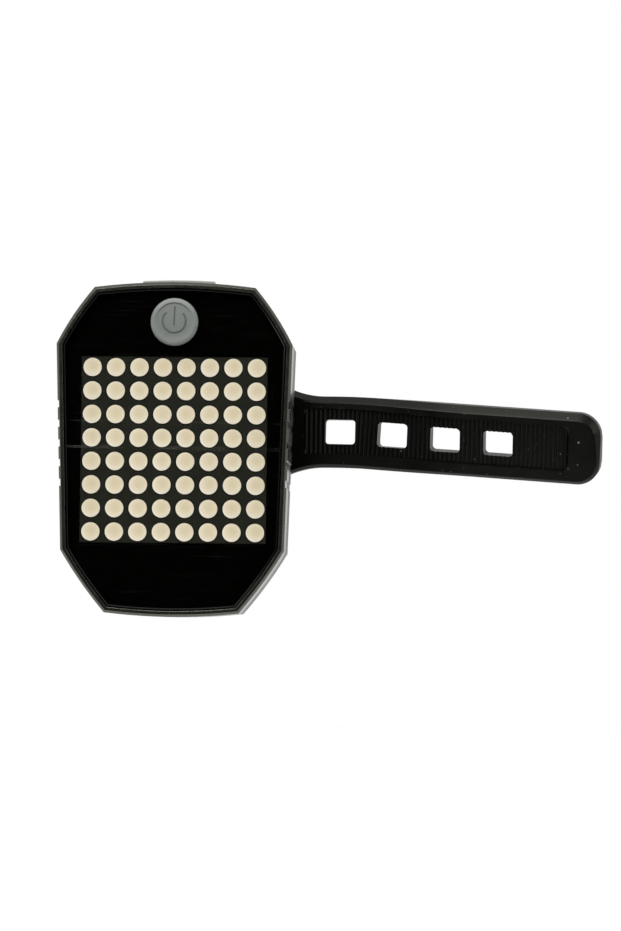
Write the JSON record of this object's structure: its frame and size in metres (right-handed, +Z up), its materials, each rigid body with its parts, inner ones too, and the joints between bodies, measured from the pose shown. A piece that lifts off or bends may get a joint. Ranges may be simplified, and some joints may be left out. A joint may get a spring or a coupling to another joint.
{
  "type": "bicycle turn signal light",
  "caption": "Flat eight-sided bicycle turn signal light with a dot matrix behind a glossy lens, a power button, a charging port cover and a ribbed rubber strap that ties it to a seat post.",
  "frame": {"origin": "on the seat post's axis, level with the middle of the strap and of the cradle", "axes": "+Z up along the seat post, -Y out of the lens, +X to the side that the strap comes out of"},
  "size_m": [0.1108, 0.0316, 0.069],
  "materials": {
    "lens": "polished",
    "lens_print": "gloss",
    "housing": "satin",
    "seal_rubber": "matte",
    "button_rubber": "matte",
    "chip_plastic": "matte",
    "plunger_plastic": "matte",
    "matrix_plastic": "matte",
    "dot_resin": "satin",
    "plated_steel": "plated",
    "board": "satin",
    "cover_rubber": "matte",
    "cell_foil": "satin",
    "foam": "matte",
    "lead_insulation": "satin",
    "screw_steel": "satin",
    "cradle_rubber": "matte",
    "strap_rubber": "satin"
  },
  "bodies": {
    "lamp": {"front_lens": "lens", "lens_mask": "lens_print", "front_housing": "housing", "rear_housing": "housing", "housing_seal": "seal_rubber", "switch_body": "chip_plastic", "matrix_case": "matrix_plastic", "matrix_dots": "dot_resin", "matrix_pins": "plated_steel", "main_board": "board", "driver_chip": "chip_plastic", "control_chip": "chip_plastic", "charger_chip": "chip_plastic", "radio_board": "board", "charging_socket": "plated_steel", "port_cover_anchor": "cover_rubber", "battery_cell": "cell_foil", "battery_pad": "foam", "battery_leads": "lead_insulation", "housing_screws": "screw_steel", "post_cradle": "cradle_rubber", "strap_pin": "screw_steel"},
    "button": {"power_button": "button_rubber"},
    "plunger": {"switch_plunger": "plunger_plastic"},
    "cover": {"port_cover": "cover_rubber"},
    "strap": {"strap": "strap_rubber"}
  },
  "joints": [
    {"name": "button_press", "type": "slide", "parent": "lamp", "child": "button", "axis": [0, 1, 0], "range_m": [0, 0.0005], "stiffness_N_per_m": 2000},
    {"name": "plunger_press", "type": "slide", "parent": "lamp", "child": "plunger", "axis": [0, 1, 0], "range_m": [0, 0.0005]},
    {"name": "port_cover_lift", "type": "hinge", "parent": "lamp", "child": "cover", "pos_m": [-0.0039, -0.02395, 0.0289], "axis": [0, -1, 0], "range_deg": [0, 90]},
    {"name": "strap_swing", "type": "hinge", "parent": "lamp", "child": "strap", "pos_m": [0.0176, -0.0119, 0], "axis": [0, 0, 1], "range_deg": [-10, 95]}
  ],
  "couplings": [
    {"joint": "plunger_press", "follows": "button_press", "ratio": 1}
  ]
}
